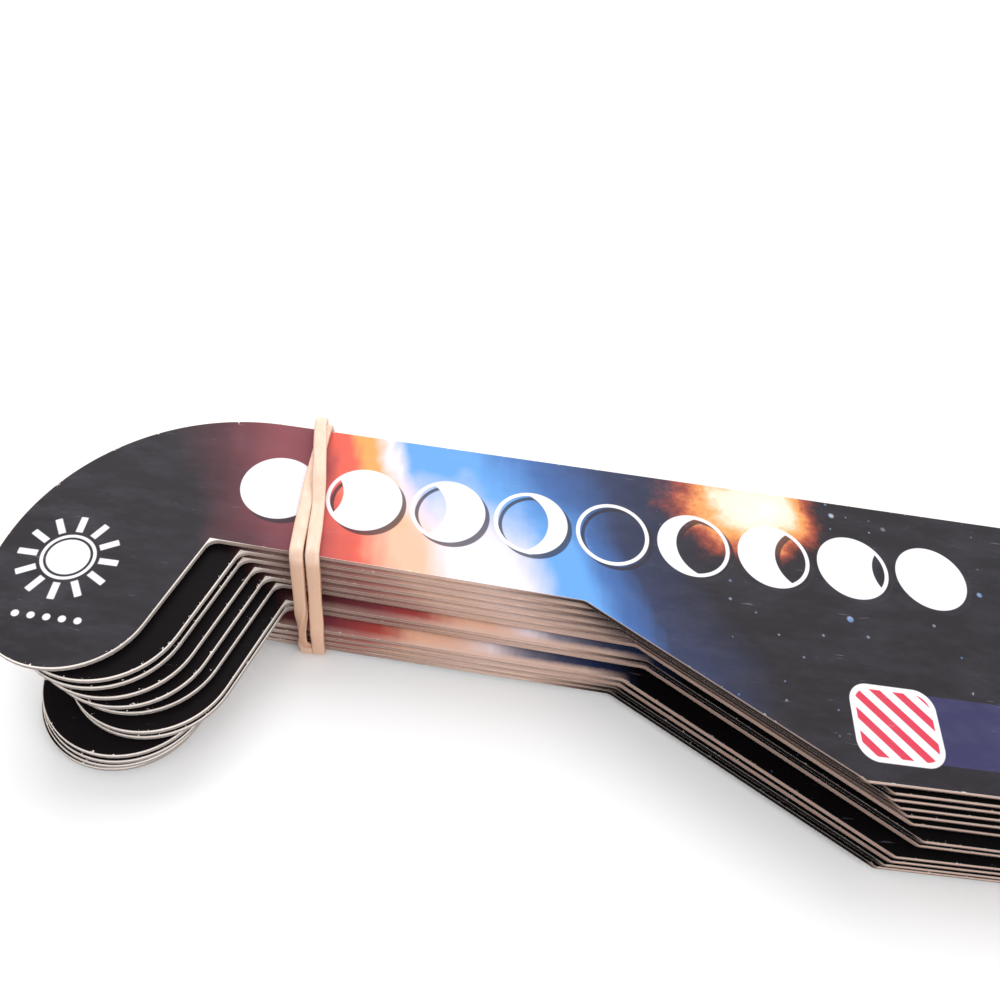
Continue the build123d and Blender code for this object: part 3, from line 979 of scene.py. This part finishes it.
def closed_tube(name, rings):
    """Quads join each ring of points to the next and the last to the first; the UV map counts both
    ways from 0 to 1."""
    count, around = rings.shape[:2]
    index = np.arange(count * around).reshape(count, around)
    after = np.roll(index, -1, 0)
    quads = np.stack([index, after, np.roll(after, -1, 1), np.roll(index, -1, 1)], -1).reshape(-1, 4)
    mesh = bpy.data.meshes.new(name)
    mesh.from_pydata(rings.reshape(-1, 3).tolist(), [], quads.tolist())
    along, round_it = np.meshgrid(np.arange(count), np.arange(around), indexing="ij")
    corners = [np.stack([along + i, round_it + j], -1) for i, j in ((0, 0), (1, 0), (1, 1), (0, 1))]
    uv = np.stack(corners, 2).reshape(-1, 2) / (count, around)
    mesh.uv_layers.new(name="UVMap").data.foreach_set("uv", uv.astype(np.float32).ravel())
    mesh.polygons.foreach_set("use_smooth", np.ones(len(mesh.polygons), bool))
    mesh.update()
    piece = bpy.data.objects.new(name, mesh)
    bpy.context.scene.collection.objects.link(piece)
    return piece


def rubber(look):
    """Natural rubber: cream over the top and tan below the top's height, with mottling and grit from noise
    in the object's frame, streaks from noise stretched along the UV map, and darker borders where the map
    is near either side of the flat strand. The tan sides and dark borders are painted shade."""
    shade = Shade("natural_rubber")
    along = shade.node("ShaderNodeUVMap", {"uv_map": "UVMap"}, [])["UV"]
    place = shade.object_place()
    streaks = shade.noise(shade.stretched(along, (60, 14, 1)), 1.0, detail=4.0, roughness=0.65)
    mottle = shade.noise(place, 520.0, detail=4.0, roughness=0.6)
    grit = shade.noise(place, 4200.0, detail=3.0, roughness=0.7)
    colour = shade.blend(streaks.above(0.5, 0.6) * 0.6 + mottle * 0.4, look.light, look.dark)
    # Painted shade: tan on the stack's sides
    sides = shade.split(place)[2].below(SIDE_TOP, 0.0008)
    colour = shade.blend(sides * 0.7, colour, look.side)
    # Painted shade at the strand's borders, which turn away from the light
    border = abs((shade.split(along)[1] * 2).math("FRACT") - 0.5).above(0.34, 0.16)
    colour = shade.blend(border * (sides * 0.3 + 0.4), colour, look.border)
    colour = shade.blend(grit.above(0.62, 0.1) * 0.12, colour, look.border)
    normal = shade.bump(streaks + grit * 0.4, 0.00006, 0.5)
    return shade.finish(Base_Color=colour, Roughness=mottle * 0.2 + 0.42, Normal=normal)


class BuildRubberBand(bpy.types.Operator):
    """Rubber band twice round the left arms"""

    bl_idname = "eclipse_glasses.build_rubber_band"
    bl_label = "Rubber band"

    def execute(self, context):
        look = settings(context).band
        band = closed_tube("doubled_rubber_band", band_rings(look))
        band.data.materials.append(rubber(look))
        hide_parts("rubber_band")
        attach(band, "bundle")
        return {"FINISHED"}


# Stage: sizes in metres

FLOOR_REACH = 2.5
FLOOR_DROP = 0.00002
KEY_SIZE = 2.4
KEY_OFFSET = Vector((-0.3, 2.2, 1.7))
FILL_SIZE = 1.6
FILL_OFFSET = Vector((1.9, -1.4, 1.3))
SENSOR_WIDTH = 36.0
NEAREST_SEEN = 0.005


def floor_material(look):
    """Pale matt floor, less than one percent darker where broad noise is high."""
    shade = Shade("pale_floor")
    haze = shade.noise(shade.object_place(), 3.0, detail=2.0)
    colour = shade.blend(haze * 0.3, look.floor, tuple(0.98 * channel for channel in look.floor))
    return shade.finish(Base_Color=colour, Roughness=0.7)


def soft_light(name, power, size, place, aim):
    """A square area light at a place, facing an aim point."""
    lamp = bpy.data.lights.new(name, "AREA")
    lamp.energy, lamp.shape, lamp.size = power, "SQUARE", size
    light = bpy.data.objects.new(name, lamp)
    light.location = place
    light.rotation_euler = (place - aim).to_track_quat("Z", "Y").to_euler()
    bpy.context.scene.collection.objects.link(light)


def aim_camera(look):
    """The camera stands off a card point along elevation and azimuth, then rolls about its view."""
    target = TOP_CARD.point(look.target[0] / MM, look.target[1] / MM)
    level = math.cos(look.elevation)
    back = Vector((
        math.sin(look.azimuth) * level, -math.cos(look.azimuth) * level, math.sin(look.elevation)
    ))
    right = Vector((math.cos(look.azimuth), math.sin(look.azimuth), 0))
    up = back.cross(right)
    rolled_right = right * math.cos(look.roll) + up * math.sin(look.roll)
    rolled_up = up * math.cos(look.roll) - right * math.sin(look.roll)
    camera = bpy.data.objects.new("camera", bpy.data.cameras.new("camera"))
    camera.data.lens = look.lens
    camera.data.sensor_width = SENSOR_WIDTH
    camera.data.clip_start = NEAREST_SEEN
    turn = Matrix((rolled_right, rolled_up, back)).transposed().to_4x4()
    camera.matrix_world = Matrix.Translation(target + back * look.distance) @ turn
    bpy.context.scene.collection.objects.link(camera)
    bpy.context.scene.camera = camera
    return target


class SetStage(bpy.types.Operator):
    """Floor, soft light and camera"""

    bl_idname = "eclipse_glasses.set_stage"
    bl_label = "Stage"

    def execute(self, context):
        look = settings(context).stage
        mesh = bpy.data.meshes.new("floor")
        reach = FLOOR_REACH
        corners = [(-reach, -reach), (reach, -reach), (reach, reach), (-reach, reach)]
        mesh.from_pydata([(x, y, -FLOOR_DROP) for x, y in corners], [], [(0, 1, 2, 3)])
        floor = bpy.data.objects.new("floor", mesh)
        mesh.materials.append(floor_material(look))
        context.scene.collection.objects.link(floor)
        target = aim_camera(look)
        soft_light("key_light", look.key_power, KEY_SIZE, target + KEY_OFFSET, target)
        soft_light("fill_light", look.fill_power, FILL_SIZE, target + FILL_OFFSET, target)
        world = bpy.data.worlds.new("even_light")
        context.scene.world = world
        world.use_nodes = True
        context.scene.view_settings.view_transform = "Standard"
        sky = world.node_tree.nodes["Background"]
        sky.inputs["Color"].default_value = (1, 1, 1, 1)
        sky.inputs["Strength"].default_value = look.sky
        return {"FINISHED"}


class EclipseGlassesPanel(bpy.types.Panel):
    """Lists the bundle's settings and steps"""

    bl_idname = "VIEW3D_PT_eclipse_glasses"
    bl_label = "Eclipse Glasses"
    bl_space_type = "VIEW_3D"
    bl_region_type = "UI"
    bl_category = "Eclipse Glasses"

    def draw(self, context):
        chosen = settings(context)
        for title, group, step in (
            ("Card", chosen.card, DressPrintedCards), ("Glow", chosen.glow, None),
            ("Motifs", chosen.motif, None), ("Film", chosen.film, DressFilms),
            ("Rubber band", chosen.band, BuildRubberBand), ("Stage", chosen.stage, SetStage),
        ):
            box = self.layout.box()
            box.label(text=title)
            for name in group.bl_rna.properties.keys():
                if name not in ("rna_type", "name"):
                    box.prop(group, name)
            if step:
                box.operator(step.bl_idname)
        self.layout.operator(DressLiners.bl_idname)


CLASSES = (
    CardLook, GlowLook, MotifLook, FilmLook, BandLook, StageLook, BundleSettings, DressPrintedCards,
    DressLiners, DressFilms, BuildRubberBand, SetStage, EclipseGlassesPanel,
)


def register():
    """Adds the classes, and the settings to every scene."""
    for kind in CLASSES:
        bpy.utils.register_class(kind)
    bpy.types.Scene.eclipse_glasses = PointerProperty(type=BundleSettings)


def unregister():
    """Takes away the settings, then the classes, the last one first."""
    del bpy.types.Scene.eclipse_glasses
    for kind in reversed(CLASSES):
        bpy.utils.unregister_class(kind)


def main():
    """Runs every step in order."""
    register()
    bpy.ops.eclipse_glasses.set_stage()
    bpy.ops.eclipse_glasses.dress_printed_cards()
    bpy.ops.eclipse_glasses.dress_liners()
    bpy.ops.eclipse_glasses.dress_films()
    bpy.ops.eclipse_glasses.build_rubber_band()


if __name__ == "__main__":
    main()
